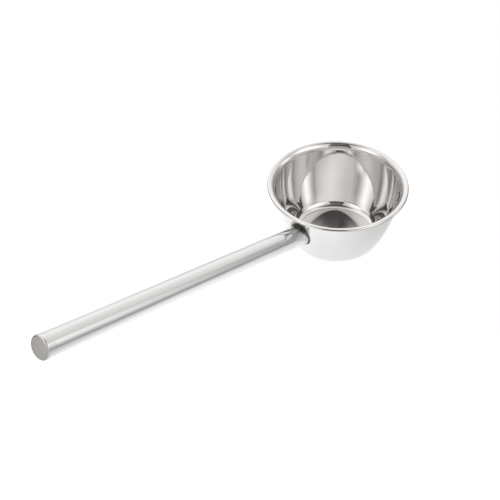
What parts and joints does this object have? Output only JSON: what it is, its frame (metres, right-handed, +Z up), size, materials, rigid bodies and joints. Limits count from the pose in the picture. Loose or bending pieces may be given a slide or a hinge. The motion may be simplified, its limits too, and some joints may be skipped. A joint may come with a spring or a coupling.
{
  "type": "water dipper",
  "caption": "Water ladle with a deep round bowl, a curled lip, and a long straight tube handle that rises from the bowl's side and ends in a flat cap.",
  "frame": {"origin": "middle of the bowl's flat base, on its lower face, on the bowl's axis", "axes": "+Z up along the bowl's axis, the handle runs towards -X and rises, Y is across the handle"},
  "size_m": [0.4615, 0.145, 0.16],
  "materials": {
    "bowl_steel": "mirror-polished stainless steel sheet",
    "tube_steel": "polished stainless steel tube, with a faint lengthwise grain",
    "cap_steel": "dull, pressed stainless steel",
    "weld_steel": "dull weld bead, darkened by heat"
  },
  "bodies": {
    "root": {"bowl": "bowl_steel", "handle_tube": "tube_steel", "end_cap": "cap_steel", "joint_weld": "weld_steel"}
  },
  "joints": []
}
